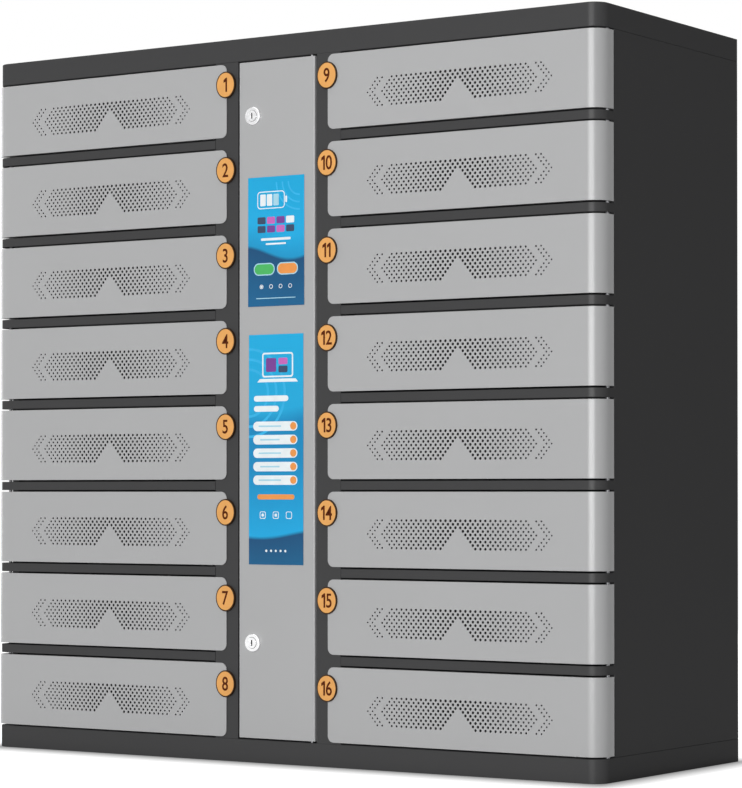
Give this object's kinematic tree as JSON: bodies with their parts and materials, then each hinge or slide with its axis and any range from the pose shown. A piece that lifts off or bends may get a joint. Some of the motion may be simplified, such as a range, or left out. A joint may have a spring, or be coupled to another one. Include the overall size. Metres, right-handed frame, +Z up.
{
  "type": "laptop charging cabinet",
  "caption": "Free-standing steel cabinet that charges laptops in lockable ventilated bays with folded swing doors, either side of a service door with a touch screen and key locks.",
  "frame": {"origin": "middle of the cabinet's bounding box, on the floor", "axes": "+X to the right as one faces the doors, +Y towards the back, +Z up"},
  "size_m": [1.0132, 0.3986, 1],
  "materials": {
    "charcoal_paint": "fine-textured satin powder coat, charcoal",
    "inner_paint": "satin powder coat, charcoal, inside",
    "silver_paint": "satin silver-grey powder coat",
    "amber_plastic": "amber moulded disc with a brown rim and a plain number",
    "pin_steel": "bright drawn steel rod",
    "black_plastic": "black moulded plastic",
    "filter_felt": "black polyester filter felt",
    "zinc_sheet": "zinc-plated sheet",
    "supply_case": "folded aluminium case",
    "board_green": "green circuit board with black relays",
    "screen_glass": "lit touch glass, blue",
    "module_black": "black display housing",
    "blue_panel": "printed blue sheet",
    "lock_chrome": "bright chrome plate"
  },
  "bodies": {
    "carcass": {"top_cap": "charcoal_paint", "base_pan": "charcoal_paint", "upper_deck": "inner_paint", "lower_deck": "inner_paint", "side_panel_left": "charcoal_paint", "side_panel_right": "charcoal_paint", "back_panel": "charcoal_paint", "vent_filters": "filter_felt", "post_left": "charcoal_paint", "post_right": "charcoal_paint", "door_rails": "charcoal_paint", "partition_left": "inner_paint", "partition_right": "inner_paint", "bay_shelves": "inner_paint", "hinge_pins": "pin_steel", "latch_housings": "black_plastic", "charging_outlets": "black_plastic", "electronics_tray": "zinc_sheet", "power_supplies": "supply_case", "control_board": "board_green", "mains_inlet": "black_plastic"},
    "service_door": {"service_door": "silver_paint", "touch_screen": "screen_glass", "display_module": "module_black", "graphic_panel": "blue_panel", "lock_collars": "lock_chrome"},
    "key_lock_upper": {"key_lock_upper": "lock_chrome"},
    "key_lock_lower": {"key_lock_lower": "lock_chrome"},
    "door_01": {"door_01": "silver_paint", "number_disc_01": "amber_plastic"},
    "door_02": {"door_02": "silver_paint", "number_disc_02": "amber_plastic"},
    "door_03": {"door_03": "silver_paint", "number_disc_03": "amber_plastic"},
    "door_04": {"door_04": "silver_paint", "number_disc_04": "amber_plastic"},
    "door_05": {"door_05": "silver_paint", "number_disc_05": "amber_plastic"},
    "door_06": {"door_06": "silver_paint", "number_disc_06": "amber_plastic"},
    "door_07": {"door_07": "silver_paint", "number_disc_07": "amber_plastic"},
    "door_08": {"door_08": "silver_paint", "number_disc_08": "amber_plastic"},
    "door_09": {"door_09": "silver_paint", "number_disc_09": "amber_plastic"},
    "door_10": {"door_10": "silver_paint", "number_disc_10": "amber_plastic"},
    "door_11": {"door_11": "silver_paint", "number_disc_11": "amber_plastic"},
    "door_12": {"door_12": "silver_paint", "number_disc_12": "amber_plastic"},
    "door_13": {"door_13": "silver_paint", "number_disc_13": "amber_plastic"},
    "door_14": {"door_14": "silver_paint", "number_disc_14": "amber_plastic"},
    "door_15": {"door_15": "silver_paint", "number_disc_15": "amber_plastic"},
    "door_16": {"door_16": "silver_paint", "number_disc_16": "amber_plastic"}
  },
  "joints": [
    {"name": "door_01_hinge", "type": "hinge", "parent": "carcass", "child": "door_01", "pos_m": [-0.5001, -0.1658, 0.91519], "axis": [0, 0, -1], "range_deg": [0, 100]},
    {"name": "door_02_hinge", "type": "hinge", "parent": "carcass", "child": "door_02", "pos_m": [-0.5001, -0.1658, 0.79656], "axis": [0, 0, -1], "range_deg": [0, 100]},
    {"name": "door_03_hinge", "type": "hinge", "parent": "carcass", "child": "door_03", "pos_m": [-0.5001, -0.1658, 0.67794], "axis": [0, 0, -1], "range_deg": [0, 100]},
    {"name": "door_04_hinge", "type": "hinge", "parent": "carcass", "child": "door_04", "pos_m": [-0.5001, -0.1658, 0.55931], "axis": [0, 0, -1], "range_deg": [0, 100]},
    {"name": "door_05_hinge", "type": "hinge", "parent": "carcass", "child": "door_05", "pos_m": [-0.5001, -0.1658, 0.44069], "axis": [0, 0, -1], "range_deg": [0, 100]},
    {"name": "door_06_hinge", "type": "hinge", "parent": "carcass", "child": "door_06", "pos_m": [-0.5001, -0.1658, 0.32206], "axis": [0, 0, -1], "range_deg": [0, 100]},
    {"name": "door_07_hinge", "type": "hinge", "parent": "carcass", "child": "door_07", "pos_m": [-0.5001, -0.1658, 0.20344], "axis": [0, 0, -1], "range_deg": [0, 100]},
    {"name": "door_08_hinge", "type": "hinge", "parent": "carcass", "child": "door_08", "pos_m": [-0.5001, -0.1658, 0.08481], "axis": [0, 0, -1], "range_deg": [0, 100]},
    {"name": "door_09_hinge", "type": "hinge", "parent": "carcass", "child": "door_09", "pos_m": [0.5001, -0.1658, 0.91519], "axis": [0, 0, 1], "range_deg": [0, 100]},
    {"name": "door_10_hinge", "type": "hinge", "parent": "carcass", "child": "door_10", "pos_m": [0.5001, -0.1658, 0.79656], "axis": [0, 0, 1], "range_deg": [0, 100]},
    {"name": "door_11_hinge", "type": "hinge", "parent": "carcass", "child": "door_11", "pos_m": [0.5001, -0.1658, 0.67794], "axis": [0, 0, 1], "range_deg": [0, 100]},
    {"name": "door_12_hinge", "type": "hinge", "parent": "carcass", "child": "door_12", "pos_m": [0.5001, -0.1658, 0.55931], "axis": [0, 0, 1], "range_deg": [0, 100]},
    {"name": "door_13_hinge", "type": "hinge", "parent": "carcass", "child": "door_13", "pos_m": [0.5001, -0.1658, 0.44069], "axis": [0, 0, 1], "range_deg": [0, 100]},
    {"name": "door_14_hinge", "type": "hinge", "parent": "carcass", "child": "door_14", "pos_m": [0.5001, -0.1658, 0.32206], "axis": [0, 0, 1], "range_deg": [0, 100]},
    {"name": "door_15_hinge", "type": "hinge", "parent": "carcass", "child": "door_15", "pos_m": [0.5001, -0.1658, 0.20344], "axis": [0, 0, 1], "range_deg": [0, 100]},
    {"name": "door_16_hinge", "type": "hinge", "parent": "carcass", "child": "door_16", "pos_m": [0.5001, -0.1658, 0.08481], "axis": [0, 0, 1], "range_deg": [0, 100]},
    {"name": "service_door_hinge", "type": "hinge", "parent": "carcass", "child": "service_door", "pos_m": [0.0555, -0.1883, 0.5], "axis": [0, 0, 1], "range_deg": [0, 105]},
    {"name": "key_lock_upper_turn", "type": "hinge", "parent": "service_door", "child": "key_lock_upper", "pos_m": [-0.0385, -0.1943, 0.891], "axis": [0, 1, 0], "range_deg": [0, 90]},
    {"name": "key_lock_lower_turn", "type": "hinge", "parent": "service_door", "child": "key_lock_lower", "pos_m": [-0.0385, -0.1943, 0.165], "axis": [0, 1, 0], "range_deg": [0, 90]}
  ]
}
